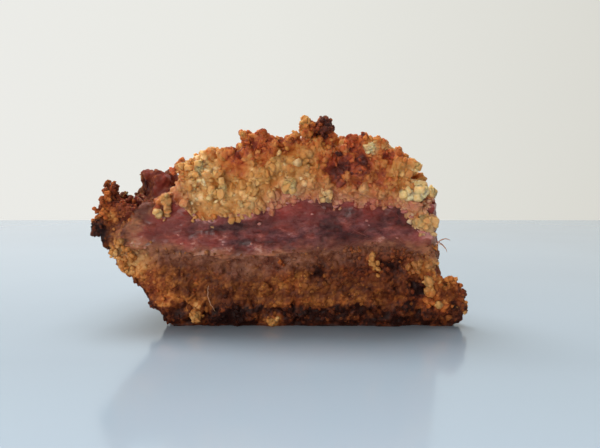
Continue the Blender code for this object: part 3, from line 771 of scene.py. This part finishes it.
def crumb_material(name, stops, red_stops, juice_stops, stain_colour, gap, roughness, weight, coat):
    """Baked crumbs: toast from pale to charred, fruit juice stains, painted shade in the creases, buttery
    sheen and fine pores.
    """
    graph = Graph(name)
    where = graph.place()
    juice_colour = graph.ramp(graph.noise(graph.place(0.42, 0.42, 0.62), 1.0, 4.0, 0.62), juice_stops)
    broad = graph.noise(where, 0.35)
    fine = graph.noise(where, 1.1, 4.0)
    specks = graph.noise(where, 3.3, 2.0, 0.7)
    # The crease term adds up to gap in toast in the creases between grains: painted shade
    toast = graph.total(
        graph.number("toast"), graph.spread(fine, -0.16, 0.16), graph.spread(broad, -0.10, 0.10),
        graph.spread(specks, -0.08, 0.08), graph.spread(graph.number("crease"), gap, -0.02))
    red = graph.total(graph.number("red"), graph.spread(broad, -0.3, 0.3), clamp=True)
    colour = graph.mix(red, graph.ramp(toast, stops, PALEST), graph.ramp(toast, red_stops, PALEST))
    soak = graph.product(graph.number("juice"), graph.spread(fine, -0.10, 1.90))
    colour = graph.mix(graph.product(soak, 0.8), colour, juice_colour)
    stain = graph.product(graph.number("stain"), graph.spread(broad, 0.35, 1.35))
    colour = graph.mix(stain, colour, stain_colour)
    wet = graph.product(graph.maths("MAXIMUM", soak, stain), 0.22)
    dry = graph.spread(specks, roughness - 0.14, roughness + 0.18)
    rough = graph.maths("SUBTRACT", dry, wet, clamp=True)
    pores = graph.bump(graph.noise(where, 2.4, 5.0, 0.65), 0.6, 0.30)
    return graph.finish({
        "Base Color": colour, "Roughness": rough, "Normal": graph.bump(specks, 0.4, 0.12, pores),
        "Subsurface Weight": weight, "Subsurface Radius": (1.0, 0.80, 0.60), "Subsurface Scale": 1.4 * MM,
        "Specular IOR Level": 0.20, "Coat Weight": coat, "Coat Roughness": 0.25})


def fruit_material():
    """Cooked fruit: soft red, mauve and brown pulp under a wet film."""
    graph = Graph("moist_fruit")
    strings = graph.noise(graph.place(0.20, 0.26, 0.42), 1.0, 5.0)
    wisps = graph.noise(graph.place(0.7, 0.9, 1.5), 1.0, 4.0, 0.62)
    clouds = graph.noise(graph.place(0.10, 0.12, 0.18))
    specks = graph.noise(graph.place(), 2.2, 2.0)
    tone = graph.total(
        graph.number("tone"), graph.spread(strings, -0.44, 0.44), graph.spread(wisps, -0.46, 0.46),
        graph.spread(specks, -0.14, 0.14), graph.spread(clouds, -0.20, 0.20), clamp=True)
    mauve = graph.spread(graph.noise(graph.place(0.24, 0.28, 0.34), 1.0, 4.0), 0.0, 0.85, 0.44, 0.60)
    colour = graph.mix(mauve, graph.ramp(tone, FRUIT_REDS), graph.ramp(tone, FRUIT_MAUVES))
    colour = graph.mix(graph.number("pink"), colour, linear(170, 66, 56))
    haze = graph.product(graph.veins(graph.place(0.30, 0.4, 0.45), 3.6), graph.spread(clouds, -0.3, 1.1))
    colour = graph.mix(graph.product(haze, 0.34), colour, linear(176, 120, 116))
    soak = graph.product(graph.number("brown"), graph.spread(strings, 0.7, 1.3))
    colour = graph.mix(soak, colour, graph.ramp(tone, FRUIT_BROWNS))
    fibres = graph.bump(haze, 0.4, 0.25, graph.bump(strings, 0.8, 0.9))
    return graph.finish({
        "Base Color": colour, "Roughness": graph.spread(wisps, 0.16, 0.62),
        "Normal": graph.bump(wisps, 0.7, 0.4, fibres), "Subsurface Weight": 0.6,
        "Subsurface Radius": (1.0, 0.40, 0.35), "Subsurface Scale": 1.2 * MM,
        "Specular IOR Level": 0.22, "Coat Weight": 0.25, "Coat Roughness": 0.2})


def fibre_material():
    """Pale fruit fibres, moist and slightly see-through."""
    graph = Graph("fruit_fibre")
    where = graph.place(0.6, 0.6, 0.6)
    tone = graph.total(graph.number("tone"), graph.spread(graph.noise(where), -0.3, 0.3), clamp=True)
    return graph.finish({
        "Base Color": graph.ramp(tone, FIBRE_COLOURS), "Specular IOR Level": 0.25,
        "Roughness": graph.spread(graph.noise(where, 3.0), 0.2, 0.5), "Subsurface Weight": 0.3,
        "Subsurface Radius": (1.0, 0.5, 0.4), "Subsurface Scale": 1.0 * MM})


def sugar_material():
    """Melted sugar and butter crumbs, pale and glassy."""
    graph = Graph("sugar_crumb")
    where = graph.place()
    return graph.finish({
        "Base Color": graph.ramp(graph.noise(where, 0.8), SUGAR_COLOURS),
        "Roughness": graph.spread(graph.noise(where, 2.0), 0.18, 0.5),
        "Normal": graph.bump(graph.noise(where, 1.6, 4.0), 0.4, 0.3), "Subsurface Weight": 0.5,
        "Subsurface Radius": (1.0, 0.8, 0.5), "Subsurface Scale": 1.5 * MM})


def floor_material():
    """Pale glazed surface, slightly blue, with soft broad waves in its gloss and painted light that makes it
    paler near the camera.
    """
    graph = Graph("pale_floor")
    where = graph.place()
    tone = graph.spread(graph.noise(where, 0.008, 2.0), 0.0, 1.0, 0.3, 0.7)
    # Paler towards the camera: painted light
    colour = graph.mix(graph.along("Y", -60.0, -110.0), graph.mix(tone, *FLOOR_COLOURS[:2]), FLOOR_COLOURS[2])
    gloss = graph.spread(graph.noise(where, 0.02, 2.0), 0.10, 0.16)
    return graph.finish({"Base Color": colour, "Roughness": gloss})


def wall_material():
    """Cream backdrop with its own soft glow, a painted light that is brighter on the left."""
    graph = Graph("cream_wall")
    glow = graph.ramp(graph.along("X", -330.0, 330.0), WALL_GLOW_COLOURS)
    return graph.finish({"Base Color": WALL_BODY, "Roughness": 1.0, "Emission Color": glow,
                         "Emission Strength": WALL_GLOW})


# Pieces

def crumble_relief(points):
    """How far the crumble's surface stands out, and the numbers that its material reads."""
    bent = wander(points, 0.5, 0.6)
    swollen = bent * (1.0 + 0.10 * waves(points, 0.05, 2.0))[:, None]
    clumps, clump_creases, clump_numbers, _ = cells(bent, 3.9, 17.0)
    heights, creases, numbers, _ = cells(swollen, CRUMBLE_GRAIN)
    small, _, small_numbers, _ = cells(bent, 0.95, 31.0)
    push = 1.2 * (clumps - 0.5) + 0.56 * (heights * (0.6 + 0.8 * numbers) - 0.45) + 0.16 * (small - 0.4)
    push += 0.3 * waves(points, 0.2, 11.0) - patches(points, CRUMBLE_HOLLOWS)
    toast = crumble_toast(points) + 0.24 * (numbers - 0.5) + 0.08 * (small_numbers - 0.5)
    # Darker where the surface lies lower: painted shade in the hollows
    toast += 0.30 * (clump_numbers - 0.5) - 0.06 * push
    # The creases between grains and clumps are stored for the material's painted shade
    return push, {"toast": toast, "juice": crumble_juice(points), "stain": np.zeros(len(points)),
                  "crease": np.minimum(creases, 0.4 + clump_creases),
                  "red": crumble_red(points) + 0.3 * (numbers - 0.5)}


def crust_relief(points):
    """How far the crust's surface stands out, and the numbers that its material reads."""
    bent = wander(points, 0.6, 0.5)
    wide, _, wide_numbers, _ = cells(bent, 4.0, 3.0)
    heights, creases, numbers, _ = cells(bent, CRUST_GRAIN, 13.0)
    small = cells(bent, 0.8, 5.0)[0]
    holes = rise(waves(points, 0.32, 21.0), 0.28, 0.60)
    juice = crust_juice(points)
    stain = crust_stain(points)
    rim = rise(points[:, 2], 23.0, 27.0)
    push = 0.8 * (wide - 0.45) - 1.0 * holes * (1.0 - 0.6 * np.maximum(juice, stain))
    grains = (0.50 + 0.14 * rim) * (heights * (0.6 + 0.8 * numbers) - 0.45) + 0.18 * (small - 0.4)
    push += (1.0 - 0.35 * juice - 0.55 * stain) * grains
    push -= patches(points, CRUST_HOLLOWS)
    push *= 0.15 + 0.85 * rise(points[:, 2], 0.2, 2.0)
    toast = crust_toast(points) + (0.24 + 0.36 * rim) * (numbers - 0.5) + 0.14 * (wide_numbers - 0.5)
    # Holes and lower places are drawn darker: painted shade in the hollows
    toast += 0.20 * holes
    toast -= 0.10 * push + 0.34 * rise(numbers, 0.72, 0.78) * rise(toast, 0.62, 0.8)
    # The creases between grains are stored for the material's painted shade
    return push, {"toast": toast, "juice": juice, "stain": stain, "crease": creases,
                  "red": crust_red(points) + 0.4 * (numbers - 0.5)}


def fruit_relief(points):
    """How far the fruit's surface stands out, and the numbers that its material reads."""
    bent = wander(points, 0.25, 1.2)
    pulp, pulp_creases, pulp_numbers, _ = cells(bent * (0.55, 0.8, 1.0), 2.9, 8.0)
    soft = waves(bent, (0.12, 0.2, 0.26), 1.0)
    ridges = 1.0 - 2.0 * np.abs(waves(bent, (0.18, 0.3, 0.55), 6.0))
    threads = 1.0 - 2.0 * np.abs(waves(bent, (0.55, 0.8, 1.6), 12.0))
    push = 0.55 * soft + 0.50 * (pulp - 0.45) + 0.22 * ridges + 0.20 * threads
    left = 1.0 - rise(points[:, 0], -38.0, -16.0)
    deep = rise(points[:, 2] + 2.0 * waves(points, 0.2, 25.0), 24.0, 30.0)
    tone = 0.53 - 0.22 * deep + 0.36 * left * (rise(waves(points, 0.16, 8.0), -0.3, 0.4) - 0.56)
    # Paler where the pulp stands out and darker in its creases: painted light and shade, besides the pulp's
    # own random tone
    tone += 0.44 * (pulp_numbers - 0.5) + 0.22 * (ridges - 0.3) + 0.32 * soft - 0.12 * (1.0 - pulp_creases)
    tone += patches(points, FRUIT_SPOTS)
    gap = node_gaps(points, (CRUST,))[:, CRUST]
    gap += 1.6 * waves(points, 0.22, 15.0) + 0.8 * waves(points, 0.7, 16.0)
    brown = np.maximum(1.0 - rise(gap, 0.0, 3.6 + 2.4 * left), 0.28 * left)
    seam = node_gaps(points, (CRUMBLE,))[:, CRUMBLE] + 0.8 * waves(points, 0.4, 91.0)
    seam = (1.0 - rise(seam, 0.5, 2.4)) * rise(waves(points, 0.16, 92.0), -0.35, 0.15)
    tone += 0.34 * seam
    pink = np.clip(patches(points, PINK_SPOTS) + 0.30 * seam, 0.0, 1.0)
    return push, {"tone": tone, "brown": brown, "pink": pink}


def split_skin(points, normals, faces, kept, numbers):
    """The faces of one layer as a mesh of its own, shaded as part of the whole skin."""
    used, corners = np.unique(faces[kept], return_inverse=True)
    mesh = new_mesh("skin", points[used], corners.reshape(-1, 4).tolist())
    mesh.shade_smooth()
    mesh.normals_split_custom_set_from_vertices(normals[used].tolist())
    for name, values in numbers.items():
        set_number(mesh, name, values[used])
    return mesh


def point_normals(points, faces):
    """Normals of a displaced skin, from its faces' diagonals."""
    across = np.cross(points[faces[:, 2]] - points[faces[:, 0]], points[faces[:, 3]] - points[faces[:, 1]])
    normals = np.empty_like(points)
    for axis in range(3):
        normals[:, axis] = np.bincount(faces.ravel(), np.repeat(across[:, axis], 4), len(points))
    return unit(normals)


def layer_masses():
    """The crumble, the fruit and the crust as pieces that share their ragged edges."""
    points, normals, faces = fused_skin()
    shares = soften(np.eye(len(LAYERS))[choose_layers(points)], face_edges(faces), 5)
    push = np.zeros(len(points))
    tables = []
    for column, relief in enumerate((crumble_relief, fruit_relief, crust_relief)):
        near = shares[:, column] > 0.0
        layer_push, numbers = relief(points[near])
        push[near] += shares[near, column] * layer_push
        spread_out = {}
        for name, values in numbers.items():
            spread_out[name] = np.zeros(len(points))
            spread_out[name][near] = values
        tables.append(spread_out)
    moved = points + normals * push[:, None]
    undercut = (1.0 - rise(points[:, 2], 0.2, 2.2)) * (0.5 + 0.7 * rise(waves(points, 0.35, 81.0), -0.3, 0.3))
    moved[:, :2] -= normals[:, :2] * undercut[:, None]
    moved[:, 2] = np.maximum(moved[:, 2], 0.0)
    turned = point_normals(moved, faces)
    face_layers = shares[faces].sum(axis=1).argmax(axis=1)
    pieces = []
    looks = (("crumble", crumble_look), ("fruit", fruit_look), ("crust", crust_look))
    for column, (slot, look) in enumerate(looks):
        mesh = split_skin(moved, turned, faces, face_layers == column, tables[column])
        pieces.append(add_piece(slot + "_mass", mesh, look))
    return pieces


def place_grains(piece, candidates, wanted, spacing, sizes, sink, rng):
    """Centres and radii of grains half sunk into a piece's surface at candidate points."""
    points = mesh_points(piece.data)
    front = candidates & (points[:, 1] < FRONT_DEPTH)
    shown = spread(points, wanted * 0.45, spacing, front, rng)
    rest = spread(points, wanted - len(shown), spacing, candidates & ~front, rng)
    chosen = np.concatenate((shown, rest)).astype(int)
    radii = sizes[0] + (sizes[1] - sizes[0]) * rng.random(len(chosen)) ** 1.6
    depth = rng.uniform(*sink, len(chosen)) * radii
    return points[chosen] + mesh_normals(piece.data)[chosen] * depth[:, None], radii


def crumble_grains(mass, candidates):
    """Loose and half-loose grains over the crumble, in three sizes."""
    rng = np.random.default_rng(SEEDS["crumble_grains"])
    for name, wanted, spacing, sizes, level in CRUMBLE_KINDS:
        centres, radii = place_grains(mass, candidates, wanted, spacing, sizes, CRUMBLE_SINK, rng)
        mesh, grains = grain_mesh(name, centres, radii, level, wanted, rng)
        tint = rng.normal(0.0, 0.10, len(centres)) + crumble_toast(centres)
        corners = mesh_points(mesh)
        lean = 0.06 * (corners[:, 2] - centres[grains, 2]) / radii[grains]
        set_number(mesh, "toast", tint[grains] + lean + 0.10 * waves(corners, 0.7, 5.0))
        red = crumble_red(centres) + rng.normal(0.0, 0.12, len(centres))
        set_grain_numbers(mesh, grains, juice=crumble_juice(centres), stain=0.0, crease=1.0, red=red)
        add_piece(name, mesh, crumble_look)


def crust_grains(mass, candidates):
    """Crumbs over the crust, in three sizes, some of them paler than what they lie on."""
    rng = np.random.default_rng(SEEDS["crust_grains"])
    for name, wanted, spacing, sizes, level in CRUST_KINDS:
        centres, radii = place_grains(mass, candidates, wanted, spacing, sizes, CRUST_SINK, rng)
        centres[:, 2] = np.maximum(centres[:, 2], radii * 1.2)
        mesh, grains = grain_mesh(name, centres, radii, level, wanted, rng)
        toast = crust_toast(centres)
        paler = rng.random(len(centres)) < 0.30
        tint = toast + rng.normal(0.0, 0.10, len(centres)) - 0.26 * paler * rise(toast, 0.6, 0.8)
        tint += rng.normal(0.0, 0.12, len(centres)) * rise(centres[:, 2], 24.0, 28.0)
        red = crust_red(centres) + rng.normal(0.0, 0.15, len(centres))
        set_grain_numbers(mesh, grains, toast=tint, juice=crust_juice(centres), stain=crust_stain(centres),
                          crease=1.0, red=red)
        add_piece(name, mesh, crust_look)


def seam_pieces(crumble_edge, crust_edge):
    """Crumbs and soft pulp squeezed together where the layers meet on the outside, and pale beads on the
    fruit's face that are painted highlights.
    """
    rng = np.random.default_rng(SEEDS["seams"])
    shapes = (SEAM_LEVEL, SEEDS["seam_shapes"])
    centres, radii = place_grains(crumble, crumble_edge, *SEAM_KINDS["hanging_grains"], rng)
    centres[:, 2] -= rng.random(len(centres)) ** 2 * 1.4
    mesh, grains = grain_mesh("hanging_grains", centres, radii, *shapes, rng)
    toast = crumble_toast(centres) + rng.normal(-0.02, 0.10, len(centres))
    juice = np.clip(crumble_juice(centres) + rng.uniform(-0.1, 0.5, len(centres)), 0.0, 1.0)
    set_grain_numbers(mesh, grains, toast=toast, juice=juice, stain=0.0, crease=1.0, red=crumble_red(centres))
    add_piece("hanging_grains", mesh, crumble_look)

    centres, radii = place_grains(crust, crust_edge, *SEAM_KINDS["soaked_grains"], rng)
    centres[:, 2] += rng.random(len(centres)) ** 2 * 1.6
    mesh, grains = grain_mesh("soaked_grains", centres, radii, *shapes, rng)
    toast = crust_toast(centres) + rng.normal(-0.1, 0.10, len(centres))
    set_grain_numbers(mesh, grains, toast=toast, juice=0.7, stain=0.0, crease=1.0, red=0.3)
    add_piece("soaked_grains", mesh, crust_look)

    centres, radii = place_grains(crumble, crumble_edge, *SEAM_KINDS["pulp_bits_and_glints"], rng)
    centres[:, 2] -= rng.uniform(-0.2, 1.2, len(centres))
    beads, bead_radii = settled([(row[:3], row[3]) for row in PULP_BEADS_AND_GLINTS], trees[FRUIT], 0.1)
    centres = np.concatenate((centres, beads))
    radii = np.concatenate((radii, bead_radii))
    mesh, grains = grain_mesh("pulp_bits_and_glints", centres, radii, *shapes, rng, flat=np.array((1.2, 1.0, 0.8)))
    tone = 0.90 + rng.normal(0.0, 0.12, len(centres))
    # The listed beads are drawn palest: painted glints
    tone[-len(PULP_BEADS_AND_GLINTS):] = 1.15
    set_grain_numbers(mesh, grains, tone=tone, brown=0.05, pink=0.35)
    add_piece("pulp_bits_and_glints", mesh, fruit_look)


def settled(lumps, tree, height):
    """Lumps' centres, moved to a height over the nearest surface, and their radii."""
    centres = []
    for middle, _ in lumps:
        location, surface, _, _ = tree.find_nearest(Vector(middle) * MM)
        centres.append(np.array(location) / MM + np.array(surface) * height)
    return np.array(centres), np.array([radius for _, radius in lumps])


def strand(points, thickness, sides=5):
    """Corners and faces of a thin tapering tube along points in millimetres."""
    count = len(points)
    corners = []
    faces = []
    for index, point in enumerate(points):
        ahead = unit(points[min(index + 1, count - 1)] - points[max(index - 1, 0)])
        side = unit(np.cross(ahead, (0.3, 0.2, 1.0)))
        up = np.cross(side, ahead)
        width = thickness * (0.35 + 0.65 * math.sin(math.pi * (index + 0.3) / (count - 0.4)))
        for step in range(sides):
            turn = math.tau * step / sides
            corners.append(point + width * (math.cos(turn) * side + math.sin(turn) * up))
    for index in range(count - 1):
        for step in range(sides):
            after = (step + 1) % sides
            faces.append((index * sides + step, index * sides + after,
                          (index + 1) * sides + after, (index + 1) * sides + step))
    faces.append(tuple(range(sides - 1, -1, -1)))
    faces.append(tuple(range((count - 1) * sides, count * sides)))
    return corners, faces


def strand_piece(name, routes):
    corners = []
    faces = []
    tones = []
    for points, thickness, tone in routes:
        made, made_faces = strand(points, thickness)
        faces += [tuple(corner + len(corners) for corner in face) for face in made_faces]
        corners += made
        tones += [tone] * len(made)
    mesh = new_mesh(name, corners, faces)
    set_number(mesh, "tone", tones)
    add_piece(name, mesh, fibre_look)


def fruit_strands(mass):
    """Stringy fibres that lie along the fruit's cut faces."""
    rng = np.random.default_rng(SEEDS["fibres"])
    tree = surface_tree(mass)
    points = mesh_points(mass.data)
    normals = mesh_normals(mass.data)
    front = normals[:, 1] < -0.6
    back = (normals[:, 1] > 0.3) & (normals[:, 2] < 0.5)
    routes = []
    for side, wanted in ((front, 26), (back, 30)):
        for start in rng.choice(np.flatnonzero(side), wanted, replace=False):
            point = points[start].copy()
            ahead = unit(np.cross(normals[start], (0.0, 0.0, 1.0))) + rng.normal(0.0, 0.35, 3)
            route = []
            for _ in range(int(rng.integers(5, 13))):
                location, surface, _, _ = tree.find_nearest(Vector(point * MM))
                surface = np.array(surface)
                route.append(np.array(location) / MM + surface * rng.uniform(-0.05, 0.04))
                ahead += rng.normal(0.0, 0.25, 3)
                ahead = unit(ahead - surface * ahead.dot(surface))
                point = np.array(location) / MM + ahead * 0.7
            routes.append((np.array(route), rng.uniform(0.05, 0.12), rng.uniform(0.05, 0.55)))
    strand_piece("fruit_strands", routes)


def loose_wisps():
    """Fine fibres that stand out of the end and hang over the crust, each bowed between two ends."""
    rng = np.random.default_rng(SEEDS["wisps"])
    shares = np.linspace(0.0, 1.0, 12)[:, None]
    routes = []
    for (start, end), bow, thickness, tone in WISPS:
        line = np.array(start) + (np.array(end) - np.array(start)) * shares
        line += np.array(bow) * np.sin(math.pi * shares)
        routes.append((line + rng.normal(0.0, 0.06, line.shape), thickness, tone))
    strand_piece("loose_wisps", routes)


def sugar_crumbs(mass):
    """A few glassy pale lumps that stand out of the crumble."""
    rng = np.random.default_rng(SEEDS["sugar"])
    centres, radii = settled(SUGAR_LUMPS, surface_tree(mass), 0.25)
    mesh, _ = grain_mesh("sugar_crumbs", centres, radii, 3, SEEDS["sugar_shapes"], rng, kinds=6)
    add_piece("sugar_crumbs", mesh, sugar_look)


def named_lumps(name, table, mass, look, level):
    """Clusters of grains, each grain set on or above the mass that carries it."""
    rng = np.random.default_rng(SEEDS[name])
    tree = surface_tree(mass)
    rows = []
    for x, y, z, count, reach, size, shade, soak, redness in table:
        for _ in range(count):
            step = rng.normal(size=3)
            step *= reach * rng.random() ** 0.4 / np.linalg.norm(step)
            radius = size * rng.uniform(0.65, 1.15)
            centre = np.array((x, y, z)) + step
            location, surface, _, distance = tree.find_nearest(Vector(centre * MM))
            if (Vector(centre * MM) - location).dot(surface) < 0.0:
                centre = np.array(location + surface * rng.uniform(-0.2, 0.5) * radius * MM) / MM
            elif distance > 1.6 * radius * MM:
                centre = np.array(location + surface * radius * MM) / MM
            rows.append((*centre, radius, shade + rng.normal(0.0, 0.06), soak, redness))
    rows = np.array(rows)
    centres = rows[:, :3]
    radii, toast, juice, red = rows[:, 3:].T
    centres[:, 2] = np.maximum(centres[:, 2], radii * 1.1)
    mesh, grains = grain_mesh(name, centres, radii, level, SEEDS[name], rng)
    set_grain_numbers(mesh, grains, toast=toast, juice=juice, stain=0.0, crease=1.0, red=red)
    add_piece(name, mesh, look)


# Stage

def stage_plane(name, corners, material):
    mesh = new_mesh(name, corners, [(0, 1, 2, 3)])
    mesh.materials.append(material)
    piece = new_object(name, mesh)


def build_stage():
    wide = STAGE_HALF
    floor = ((-wide, -wide, 0.0), (wide, -wide, 0.0), (wide, FLOOR_END, 0.0), (-wide, FLOOR_END, 0.0))
    stage_plane("floor", floor, floor_material())
    wall = ((-wide, WALL_Y, WALL_BASE), (wide, WALL_Y, WALL_BASE),
            (wide, WALL_Y, wide), (-wide, WALL_Y, wide))
    stage_plane("wall", wall, wall_material())


def build_light():
    """Soft panels; those that only give gloss shine on nothing but the cake."""
    world = bpy.data.worlds.new("soft_room")
    world.use_nodes = True
    background = world.node_tree.nodes["Background"].inputs
    background["Color"].default_value = ROOM_COLOUR
    background["Strength"].default_value = ROOM_STRENGTH
    bpy.context.scene.world = world
    cake = bpy.data.collections.new("cake_only")
    for piece in bpy.context.scene.objects:
        if piece.type == "MESH" and piece.name not in STAGE_NAMES and piece.name not in LAYERS:
            cake.objects.link(piece)
    for name, place, size, power, colour, gloss in LIGHTS:
        data = bpy.data.lights.new(name, "AREA")
        data.shape = "ELLIPSE"
        data.size, data.size_y = size
        data.energy = power
        data.color = colour
        lamp = new_object(name, data)
        lamp.location = place
        lamp.rotation_euler = (Vector(LIGHT_TARGET) - Vector(place)).to_track_quat("-Z", "Y").to_euler()
        lamp.visible_camera = False
        lamp.visible_glossy = gloss
        lamp.visible_diffuse = not gloss
        if gloss:
            lamp.light_linking.receiver_collection = cake


def build_camera():
    data = bpy.data.cameras.new("camera")
    data.sensor_width = 36.0
    data.lens = CAMERA_LENS
    data.clip_start = 0.01
    data.clip_end = 10.0
    camera = new_object("camera", data)
    camera.location = Vector(CAMERA_PLACE) * MM
    camera.rotation_euler = (math.radians(90.0 - CAMERA_PITCH), 0.0, 0.0)
    bpy.context.scene.camera = camera


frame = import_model()
node_trees = [surface_tree(frame["nodes"][node]) for node in LAYERS]

crumble_look = crumb_material("toasted_crumble", CRUMBLE_COLOURS, CRUMBLE_REDS, CRUMBLE_JUICE,
                              linear(90, 36, 26), gap=0.12, roughness=0.42, weight=0.8, coat=0.05)
crust_look = crumb_material("baked_crust", CRUST_COLOURS, CRUST_REDS, CRUST_JUICE,
                            linear(128, 56, 50), gap=0.20, roughness=0.50, weight=0.45, coat=0.0)
fruit_look = fruit_material()
fibre_look = fibre_material()
sugar_look = sugar_material()

crumble, fruit, crust = layer_masses()
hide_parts("crumble_topping")
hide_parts("fruit_filling")
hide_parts("base_crust")

trees = [surface_tree(piece) for piece in (crumble, fruit, crust)]
crumble_points = mesh_points(crumble.data)
crumble_normals = mesh_normals(crumble.data)
crust_points = mesh_points(crust.data)
crust_normals = mesh_normals(crust.data)
crumble_open = in_open_air(crumble_points, crumble_normals, trees, crumble_normals[:, 2] > OVERHANG)
crust_open = in_open_air(crust_points, crust_normals, trees, crust_points[:, 2] > CRUST_FOOT)

crumble_grains(crumble, crumble_open)
crust_grains(crust, crust_open & (crust_stain(crust_points) < STAIN_LIMIT))
seam_pieces(near_surface(crumble_points, trees[FRUIT], SEAM_REACH),
            near_surface(crust_points, trees[FRUIT], SEAM_REACH))
named_lumps("crumble_clusters", CRUMBLE_LUMPS, crumble, crumble_look, 3)
named_lumps("crust_clusters", CRUST_LUMPS, crust, crust_look, 2)
fruit_strands(fruit)
loose_wisps()
sugar_crumbs(crumble)

build_stage()
build_light()
build_camera()
bpy.context.scene.view_settings.view_transform = "Standard"
